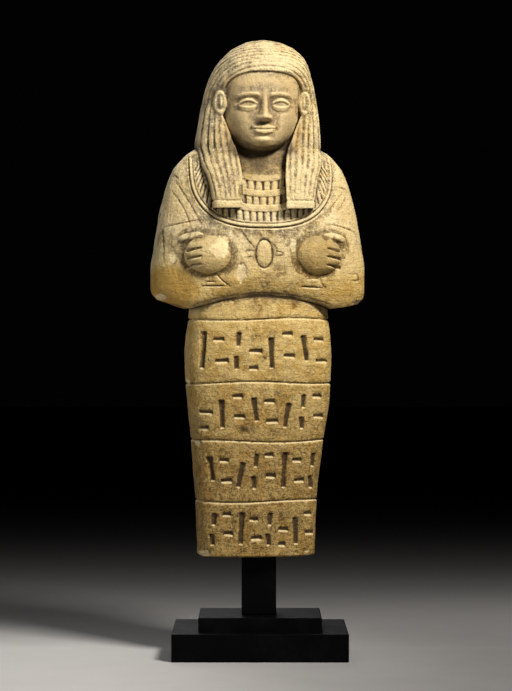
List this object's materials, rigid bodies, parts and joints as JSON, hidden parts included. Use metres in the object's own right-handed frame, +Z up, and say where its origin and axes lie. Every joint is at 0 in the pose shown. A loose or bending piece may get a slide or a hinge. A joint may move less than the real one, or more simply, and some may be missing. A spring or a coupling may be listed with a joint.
{
  "type": "ushabti figurine on a stand",
  "caption": "Limestone funerary figurine in a striated wig with crossed arms and a beaded collar, broken off below the knees, on a black stepped stand.",
  "frame": {"origin": "middle of the object's outline seen from above, on the underside of the stand", "axes": "+Z up the figure, -Y towards the viewer who faces the figurine, +X to that viewer's right"},
  "size_m": [0.093, 0.0556, 0.2675],
  "materials": {
    "limestone": "carved and worn, matt, yellowish with brown stains and dark dirt in the cuts",
    "black_paint": "satin black, rubbed at the edges"
  },
  "bodies": {
    "root": {"ushabti_figure": "limestone", "stand_post": "black_paint", "stand_base": "black_paint"}
  },
  "joints": []
}
